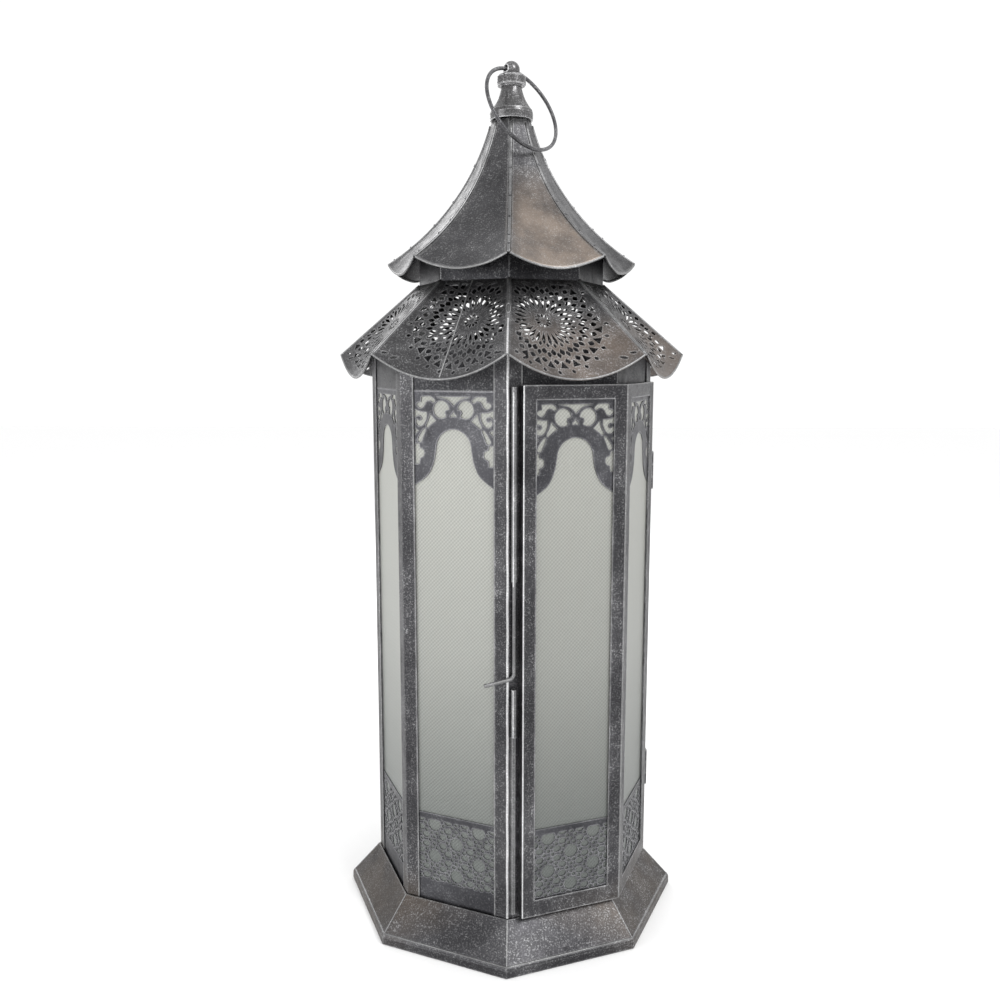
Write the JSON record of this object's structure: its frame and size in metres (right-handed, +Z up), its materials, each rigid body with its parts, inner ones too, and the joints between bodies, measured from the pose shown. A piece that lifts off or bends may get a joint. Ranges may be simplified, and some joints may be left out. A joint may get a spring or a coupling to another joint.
{
  "type": "hanging candle lantern",
  "caption": "Tall octagonal pierced-metal candle lantern with frosted panes, folding two-facet door, scalloped double roof and carry ring.",
  "frame": {"origin": "centre of the base's underside", "axes": "+Z up through the finial, -Y towards the front corner beside the door's opening edge, +X towards the door's hinge corner"},
  "size_m": [0.285, 0.285, 0.6999],
  "materials": {
    "frame_sheet": "antique zinc, worn",
    "screen_sheet": "antique zinc, worn",
    "roof_sheet": "antique zinc, bronze tint",
    "seam_metal": "bright rubbed solder",
    "wire_metal": "dark wire, rubbed",
    "finial_metal": "dark cast, worn edges",
    "inner_sheet": "plain sheet",
    "frosted_glass": "patterned, frosted"
  },
  "bodies": {
    "lantern": {"base_plinth": "frame_sheet", "candle_pan": "inner_sheet", "corner_post_front": "frame_sheet", "corner_post_hinge": "frame_sheet", "corner_post_left": "frame_sheet", "corner_post_left_front": "frame_sheet", "corner_post_left_rear": "frame_sheet", "corner_post_rear": "frame_sheet", "corner_post_right_rear": "frame_sheet", "door_sill": "frame_sheet", "finial_ball": "finial_metal", "finial_cone": "finial_metal", "floor_plate": "inner_sheet", "glass_clips": "inner_sheet", "header_band": "frame_sheet", "hinge_leaf_fixed": "wire_metal", "hinge_pins": "wire_metal", "jamb_strip": "wire_metal", "jamb_tubes": "wire_metal", "neck_band": "frame_sheet", "roof_panel_0": "roof_sheet", "roof_panel_1": "roof_sheet", "roof_panel_2": "roof_sheet", "roof_panel_3": "roof_sheet", "roof_panel_4": "roof_sheet", "roof_panel_5": "roof_sheet", "roof_panel_6": "roof_sheet", "roof_panel_7": "roof_sheet", "roof_ridges": "seam_metal", "side_glass_2": "frosted_glass", "side_glass_3": "frosted_glass", "side_glass_4": "frosted_glass", "side_glass_5": "frosted_glass", "side_glass_6": "frosted_glass", "side_glass_7": "frosted_glass", "side_screen_2": "screen_sheet", "side_screen_3": "screen_sheet", "side_screen_4": "screen_sheet", "side_screen_5": "screen_sheet", "side_screen_6": "screen_sheet", "side_screen_7": "screen_sheet", "skirt_panel_0": "roof_sheet", "skirt_panel_1": "roof_sheet", "skirt_panel_2": "roof_sheet", "skirt_panel_3": "roof_sheet", "skirt_panel_4": "roof_sheet", "skirt_panel_5": "roof_sheet", "skirt_panel_6": "roof_sheet", "skirt_panel_7": "roof_sheet", "skirt_ridges": "seam_metal"},
    "door": {"door_clips": "inner_sheet", "door_frame": "frame_sheet", "door_glass_front": "frosted_glass", "door_glass_side": "frosted_glass", "door_screen_front": "screen_sheet", "door_screen_side": "screen_sheet", "hinge_leaf_door": "wire_metal"},
    "latch": {"latch_wire": "wire_metal"},
    "ring": {"carry_ring": "wire_metal"}
  },
  "joints": [
    {"name": "door_hinge", "type": "hinge", "parent": "lantern", "child": "door", "pos_m": [0.11756, -0.00323, 0.241], "axis": [0, 0, 1], "range_deg": [0, 110]},
    {"name": "latch_turn", "type": "hinge", "parent": "lantern", "child": "latch", "pos_m": [0.00486, -0.11678, 0.2285], "axis": [0, 0, 1], "range_deg": [0, 115]},
    {"name": "ring_swing", "type": "hinge", "parent": "lantern", "child": "ring", "pos_m": [0, 0, 0.6931], "axis": [-0.7154, -0.6957, 0.0645], "range_deg": [0, 310]}
  ]
}
